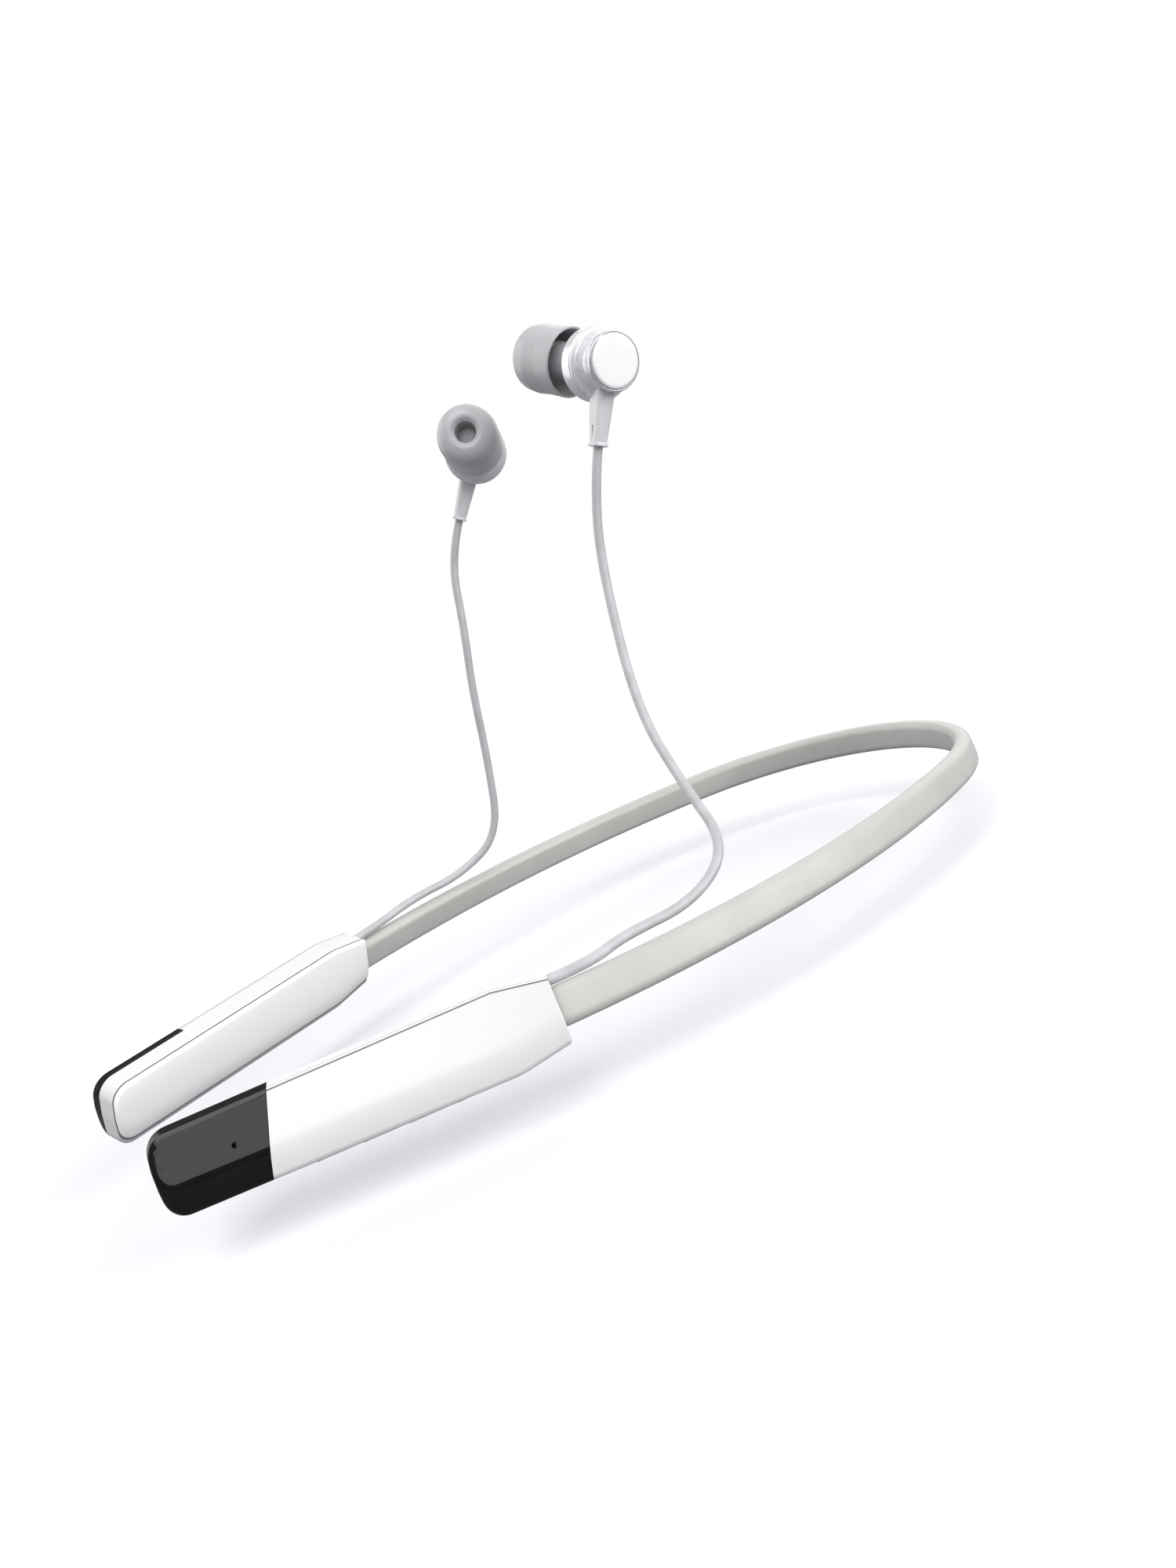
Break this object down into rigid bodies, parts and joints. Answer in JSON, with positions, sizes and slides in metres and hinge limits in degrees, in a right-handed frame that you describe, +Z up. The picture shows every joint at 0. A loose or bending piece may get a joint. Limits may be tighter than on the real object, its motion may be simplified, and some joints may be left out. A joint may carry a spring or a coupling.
{
  "type": "neckband earphones",
  "caption": "Wireless neckband earphones: a soft U-shaped band ending in two flat pods, each with a thin cord to an in-ear earbud.",
  "frame": {"origin": "middle of the band's inner face at the nape, level with the middle of the band", "axes": "+Z up the neck, at right angles to the plane of the band; +Y backwards, away from the neck; +X to the wearer's left; the pods lie towards -Y"},
  "size_m": [0.1164, 0.2173, 0.131],
  "materials": {
    "pod_white": "gloss",
    "cap_black": "mirror gloss",
    "grommet_grey": "satin",
    "cord_grey": "satin",
    "tip_silicone": "satin",
    "housing_pearl": "pearl",
    "disc_white": "gloss",
    "trim_chrome": "polished",
    "boot_grey": "satin",
    "driver_plastic": "matte",
    "magnet_steel": "plated",
    "diaphragm_film": "film",
    "screen_mesh": "mesh",
    "band_silicone": "satin",
    "wire_steel": "drawn",
    "cable_black": "matte",
    "board_green": "solder mask",
    "chip_black": "moulded",
    "plated_steel": "plated",
    "light_lens": "clear",
    "flap_white": "satin",
    "button_white": "gloss",
    "battery_foil": "foil",
    "foam_black": "foam"
  },
  "bodies": {
    "band": {"band_sheath": "band_silicone", "memory_wire": "wire_steel", "link_cable": "cable_black"},
    "left_arm": {"left_outer_shell": "pod_white", "left_end_cap": "cap_black", "left_inner_cover": "pod_white", "left_rear_grommet": "grommet_grey", "circuit_board": "board_green", "bluetooth_chip": "chip_black", "shield_can": "plated_steel", "board_screw_1": "plated_steel", "board_screw_2": "plated_steel", "usb_socket": "plated_steel", "volume_up_switch": "chip_black", "play_switch": "chip_black", "volume_down_switch": "chip_black", "status_light": "light_lens", "microphone": "chip_black", "left_cord": "cord_grey", "left_rear_housing": "housing_pearl", "left_back_cap": "disc_white", "left_trim_ring": "trim_chrome", "left_front_housing": "housing_pearl", "left_driver_frame": "driver_plastic", "left_driver_magnet": "magnet_steel", "left_diaphragm": "diaphragm_film", "left_nozzle_screen": "screen_mesh", "left_boot": "boot_grey"},
    "right_arm": {"right_outer_shell": "pod_white", "right_end_cap": "cap_black", "right_inner_cover": "pod_white", "right_rear_grommet": "grommet_grey", "battery": "battery_foil", "battery_board": "board_green", "battery_foam": "foam_black", "vibration_motor": "magnet_steel", "right_cord": "cord_grey", "right_rear_housing": "housing_pearl", "right_back_cap": "disc_white", "right_trim_ring": "trim_chrome", "right_front_housing": "housing_pearl", "right_driver_frame": "driver_plastic", "right_driver_magnet": "magnet_steel", "right_diaphragm": "diaphragm_film", "right_nozzle_screen": "screen_mesh", "right_boot": "boot_grey"},
    "volume_up_button": {"volume_up_button": "button_white"},
    "play_button": {"play_button": "button_white"},
    "volume_down_button": {"volume_down_button": "button_white"},
    "charge_flap": {"charge_flap": "flap_white"},
    "left_ear_tip": {"left_ear_tip": "tip_silicone"},
    "right_ear_tip": {"right_ear_tip": "tip_silicone"}
  },
  "joints": [
    {"name": "left_arm_flex", "type": "hinge", "parent": "band", "child": "left_arm", "pos_m": [0.0388, -0.0172, 0], "axis": [0, 0, 1], "range_deg": [-4, 15], "stiffness_Nm_per_rad": 1, "deforming": ["band_sheath", "memory_wire", "link_cable"]},
    {"name": "right_arm_flex", "type": "hinge", "parent": "band", "child": "right_arm", "pos_m": [-0.0388, -0.0172, 0], "axis": [0, 0, -1], "range_deg": [-4, 15], "stiffness_Nm_per_rad": 1, "deforming": ["band_sheath", "memory_wire", "link_cable"]},
    {"name": "volume_up_press", "type": "slide", "parent": "left_arm", "child": "volume_up_button", "axis": [-0.3455, 0.1271, 0.9298], "range_m": [0, 0.00035], "stiffness_N_per_m": 800},
    {"name": "play_press", "type": "slide", "parent": "left_arm", "child": "play_button", "axis": [-0.3455, 0.1271, 0.9298], "range_m": [0, 0.00035], "stiffness_N_per_m": 800},
    {"name": "volume_down_press", "type": "slide", "parent": "left_arm", "child": "volume_down_button", "axis": [-0.3455, 0.1271, 0.9298], "range_m": [0, 0.00035], "stiffness_N_per_m": 800},
    {"name": "charge_flap_hinge", "type": "hinge", "parent": "left_arm", "child": "charge_flap", "pos_m": [0.04376, -0.16432, -0.00739], "axis": [-0.8726, 0.3211, -0.3681], "range_deg": [0, 100]},
    {"name": "left_ear_tip_pull", "type": "slide", "parent": "left_arm", "child": "left_ear_tip", "axis": [-0.897, -0.0977, 0.4311], "range_m": [0, 0.009]},
    {"name": "right_ear_tip_pull", "type": "slide", "parent": "right_arm", "child": "right_ear_tip", "axis": [0.8208, -0.5527, 0.144], "range_m": [0, 0.009]}
  ]
}
